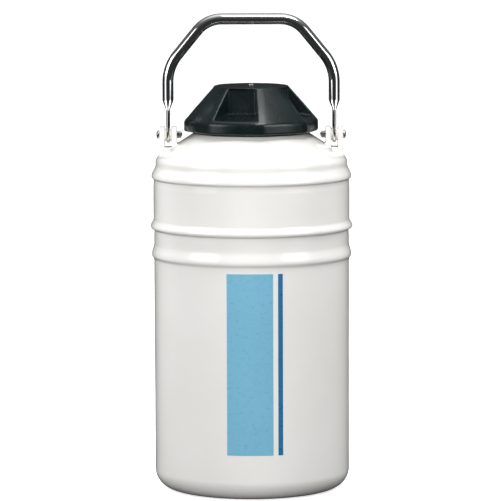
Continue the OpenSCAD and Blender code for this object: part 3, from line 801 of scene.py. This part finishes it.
def bracket_field(x, y, z):
    """Two ears with a floor between them, faired into the shoulder as a painted weld."""
    above = z - PIVOT_Z
    flank = (np.abs(y) - EAR_HALF + 0.08 * above) * 0.997
    outline = np.where(above > 0, np.hypot(y, above) - EAR_HALF, flank)
    ears = []
    for middle in (SLOT_IN - EAR_T / 2, SLOT_OUT + EAR_T / 2):
        ears.append(meet([np.abs(x - middle) - EAR_T / 2, outline], 0.8))
    web = meet([np.abs(x - LEG_X) - SLOT_W / 2 - 2, np.abs(y) - EAR_HALF, z - SLOT_FLOOR], 0.6)
    solid = np.minimum(blend_of(ears[0], web, 0.8), blend_of(ears[1], web, 0.8))
    bore = np.hypot(y, above) - EAR_BORE_R
    solid = np.maximum(solid, -bore)
    radius = np.hypot(x, y)
    clear = (z - np.interp(radius, shoulder_r, shoulder_z)) * math.cos(SHOULDER_SLOPE)
    far = np.maximum(np.maximum(np.abs(x - LEG_X) - SLOT_W / 2 - EAR_T, 0), np.abs(y) - 11)
    weld = clear - 0.12 + 0.12 * np.maximum(far, 0)
    foot = blend_of(solid, weld, 2.2)
    near = meet([np.abs(x - LEG_X) - SLOT_W / 2 - EAR_T - 4, np.abs(y) - 16, z - PIVOT_Z - 12], 0.5)
    return np.maximum(np.maximum(foot, near), -clear - 1.0)


BRACKET_LOW, BRACKET_HIGH = (80.0, -17.0, 368.0), (110.0, 17.0, 415.5)


def mirrored(mesh, side):
    """The mesh, or its mirror image on the left, facing outwards."""
    if side < 0:
        mesh.transform(Matrix.Diagonal((-1, 1, 1, 1)))
        mesh.flip_normals()
    return mesh


HEAD_X = SLOT_OUT + EAR_T
BOLT_HEAD_R, BOLT_HEAD_H, BOLT_DOME_R = 4.8, 3.6, 9.0
CROSS_LONG, CROSS_THIN, CROSS_TURN = 2.4, 0.6, math.radians(30)
BOLT_R, THREAD_DEPTH, THREAD_PITCH = 2.5, 0.28, 0.8


def bolt_field(x, y, z):
    """Domed head with a cross recess; the axis runs along X through the pivot."""
    z = z - PIVOT_Z
    radius = np.hypot(y, z)
    dome = np.sqrt(radius ** 2 + (x - (HEAD_X + BOLT_HEAD_H - BOLT_DOME_R)) ** 2) - BOLT_DOME_R
    head = meet([radius - BOLT_HEAD_R, dome, HEAD_X - x], 0.35)
    cos, sin = math.cos(CROSS_TURN), math.sin(CROSS_TURN)
    u, v = y * cos + z * sin, z * cos - y * sin
    cross = np.minimum(np.maximum(np.abs(u) - CROSS_THIN, np.abs(v) - CROSS_LONG),
                       np.maximum(np.abs(v) - CROSS_THIN, np.abs(u) - CROSS_LONG))
    recess = np.maximum(cross, HEAD_X + 2.2 - x)
    return np.maximum(head, -recess)


NUT_HALF, NUT_T = 3.5, 5
NUT_OUT = SLOT_IN - EAR_T
NUT_X = NUT_OUT - NUT_T
TIP_X = NUT_X - 1.2


def nut_field(x, y, z):
    """Chamfered hexagon with a bore."""
    z = z - PIVOT_Z
    radius, angle = np.hypot(y, z), np.arctan2(z, y)
    sixth = math.pi / 6
    turn = np.abs((angle + sixth) % (2 * sixth) - sixth)
    faces = [radius * np.cos(turn) - NUT_HALF, radius * np.cos(2 * sixth - turn) - NUT_HALF,
             x - NUT_OUT, NUT_X - x,
             (radius - (NUT_HALF + 0.25)) * 0.8 + (NUT_X + 0.3 - x) * 0.6]
    return np.maximum(meet(faces, 0.12), EAR_BORE_R - radius)


def threaded(start, end, outer, depth, pitch):
    """Outline of a threaded rod's end, from its tip inwards."""
    points = [(0, start), (outer - 0.8, start), (outer - depth, start + 0.5)]
    z = start + 0.5
    while z + pitch < end:
        points += [(outer, z + pitch / 2), (outer - depth, z + pitch)]
        z += pitch
    return points + [(outer, end)]


WASHER_R = 7.0
washer_low, washer_high = 0.03, (SLOT_W - 2 * STRIP_A) / 2 - 0.03
washer = softened([(EAR_BORE_R, washer_low), (WASHER_R, washer_low), (WASHER_R, washer_high),
                   (EAR_BORE_R, washer_high)], 0.3)

for side, name in ((-1, "left"), (1, "right")):
    bracket = mirrored(skinned("bracket", bracket_field, BRACKET_LOW, BRACKET_HIGH, 0.55), side)
    bracket.name = "bracket_welded_" + name
    piece_from("bracket_welded_" + name, bracket, "vessel", ["bracket_" + name],
               ENAMEL, 45)
    head = mirrored(skinned("head", bolt_field, (HEAD_X - 0.8, -5.6, PIVOT_Z - 5.6),
                            (HEAD_X + 4.2, 5.6, PIVOT_Z + 5.6), 0.26), side)
    rod = (threaded(TIP_X, NUT_OUT, BOLT_R, THREAD_DEPTH, THREAD_PITCH)
           + [(BOLT_R, HEAD_X + 0.5), (0, HEAD_X + 0.5)])
    shank = revolved("shank", rod, 32, at_pivot(0, side))
    piece_from("pivot_bolt_domed_" + name, merged("pivot_bolt_domed_" + name, head, shank),
               "vessel", ["pivot_bolt_" + name], STEEL, 40)
    nut = mirrored(skinned("nut", nut_field, (NUT_X - 0.6, -5, PIVOT_Z - 5),
                           (NUT_OUT + 0.6, 5, PIVOT_Z + 5), 0.24), side)
    nut.name = "pivot_nut_hex_" + name
    piece_from("pivot_nut_hex_" + name, nut, "vessel", ["pivot_nut_" + name], STEEL, 30)
    washers = [revolved("washer", washer, 64, at_pivot(x, side)) for x in (SLOT_IN, LEG_X + STRIP_A)]
    piece_from("washers_turned_" + name, merged("washers_turned_" + name, *washers), "vessel",
               ["friction_washers_" + name], NYLON)

# ---- CAD parts that stay as they are, mostly out of sight ----

KEPT = {
    "neck_collar": ALUMINIUM, "inner_vessel_base": ALUMINIUM, "inner_vessel_top": ALUMINIUM,
    "insulation_blanket": FOIL, "adsorbent_pack": CLOTH, "getter_capsule": STEEL,
    "vacuum_port": ALUMINIUM, "vacuum_plug": STEEL, "port_o_ring": RUBBER, "port_cap": PLASTIC,
    "plug_insert": BRASS,
}
for name, material in KEPT.items():
    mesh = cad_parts[name].data
    mesh.materials.clear()
    mesh.materials.append(material)

# ---- Stage ----

floor_paint = Paint("floor_paper", Roughness=0.9, Specular_IOR_Level=0.1,
                    Emission_Color=(1, 1, 1, 1), Emission_Strength=0.6)
floor_paint.colour(floor_paint.tint(floor_paint.noise(3.0, 2.0), (0.94, 0.94, 0.94),
                                    (0.96, 0.96, 0.96)))
bpy.ops.mesh.primitive_circle_add(vertices=96, radius=40, fill_type="NGON", location=(0, 0, 0))
floor = bpy.context.object
floor.name = "floor"
floor.data.materials.append(floor_paint.material)

# The floor neither mirrors in the object nor lights it: a dark lower half of the studio does
floor.visible_glossy = False
floor.visible_diffuse = False

world = bpy.data.worlds.new("studio")
bpy.context.scene.world = world
world.use_nodes = True
sky = world.node_tree
direction = sky.nodes.new("ShaderNodeTexCoord").outputs["Generated"]
up = sky.nodes.new("ShaderNodeSeparateXYZ")
sky.links.new(direction, up.inputs[0])
fade = sky.nodes.new("ShaderNodeValToRGB")
HEAVENS = ((0.0, 0.03), (0.1, 0.04), (0.5, 0.10), (0.72, 0.17), (0.9, 0.60), (1.0, 1.0))
ramp = fade.color_ramp
while len(ramp.elements) < len(HEAVENS):
    ramp.elements.new(1.0)
for stop, (height, strength) in zip(ramp.elements, HEAVENS):
    stop.position = height
    stop.color = (strength, strength, strength, 1)
sky.links.new(up.outputs["Z"], fade.inputs[0])
background = sky.nodes["Background"]
sky.links.new(fade.outputs["Color"], background.inputs["Color"])


def aimed(item, place, target):
    item.location = Vector(place)
    item.rotation_mode = "QUATERNION"
    item.rotation_quaternion = (Vector(target) - Vector(place)).to_track_quat("-Z", "Y")


def softbox(name, azimuth, distance, low, high, width, radiance, in_gloss=True, in_diffuse=True):
    """An upright rectangular light that faces the object; azimuth 0 is the camera's side."""
    data = bpy.data.lights.new(name, "AREA")
    data.shape = "RECTANGLE"
    data.size, data.size_y = width, high - low
    data.energy = radiance * math.pi * width * (high - low)
    item = bpy.data.objects.new(name, data)
    bpy.context.scene.collection.objects.link(item)
    turn = math.radians(azimuth)
    middle = (low + high) / 2
    aimed(item, (distance * math.sin(turn), -distance * math.cos(turn), middle), (0, 0, middle))
    item.visible_camera = False
    item.visible_glossy = in_gloss
    item.visible_diffuse = in_diffuse


# Broad light from above, which doesn't show in the gloss
sun_data = bpy.data.lights.new("overhead", "SUN")
sun_data.energy = 0.92
sun_data.angle = math.radians(60)
sun = bpy.data.objects.new("overhead", sun_data)
bpy.context.scene.collection.objects.link(sun)
aimed(sun, (-0.1, -0.3, 3.0), (0, 0, 0))
sun.visible_camera = False
sun.visible_glossy = False

softbox("softbox_left", -54, 1.5, 0.285, 0.55, 0.75, 1.5)
softbox("softbox_right", 54, 1.5, 0.285, 0.55, 0.75, 1.5)
softbox("window_left", -57, 1.5, 0.55, 1.3, 0.95, 3.6, in_diffuse=False)
softbox("window_right", 52, 1.5, 0.55, 1.3, 0.85, 3.6, in_diffuse=False)
softbox("fill_front", -6, 2.5, 0.1, 1.6, 1.6, 7.5, in_gloss=False)
softbox("fill_left", -122, 1.5, 0.0, 1.2, 1.2, 6.4, in_gloss=False)
softbox("fill_right", 122, 1.5, 0.0, 1.2, 1.2, 5.2, in_gloss=False)

KEY_WIDTH, KEY_DEPTH, KEY_RADIANCE = 0.8, 0.5, 7.5
key_data = bpy.data.lights.new("softbox_top", "AREA")
key_data.shape = "RECTANGLE"
key_data.size, key_data.size_y = KEY_WIDTH, KEY_DEPTH
key_data.energy = KEY_RADIANCE * math.pi * KEY_WIDTH * KEY_DEPTH
key = bpy.data.objects.new("softbox_top", key_data)
bpy.context.scene.collection.objects.link(key)
aimed(key, (0.36, -0.58, 1.75), (0.2, 0, 0.43))
key.visible_camera = False

# ---- Camera ----

SENSOR_MM = 36
FOCAL_BY_WIDTH = 3833.0 / 502.0
cam_data = bpy.data.cameras.new("camera")
cam_data.sensor_width = SENSOR_MM
cam_data.lens = FOCAL_BY_WIDTH * SENSOR_MM
camera = bpy.data.objects.new("camera", cam_data)
bpy.context.scene.collection.objects.link(camera)
target = Vector((-0.0007, 0, 0.2715))
elevation, distance, roll = math.radians(6.33), 4.373, math.radians(-0.19)
back = Vector((0, -math.cos(elevation), math.sin(elevation)))
aimed(camera, target + back * distance, target)
camera.rotation_quaternion = camera.rotation_quaternion @ Matrix.Rotation(roll, 4, "Z").to_quaternion()
bpy.context.scene.camera = camera
bpy.context.scene.view_settings.view_transform = "Standard"
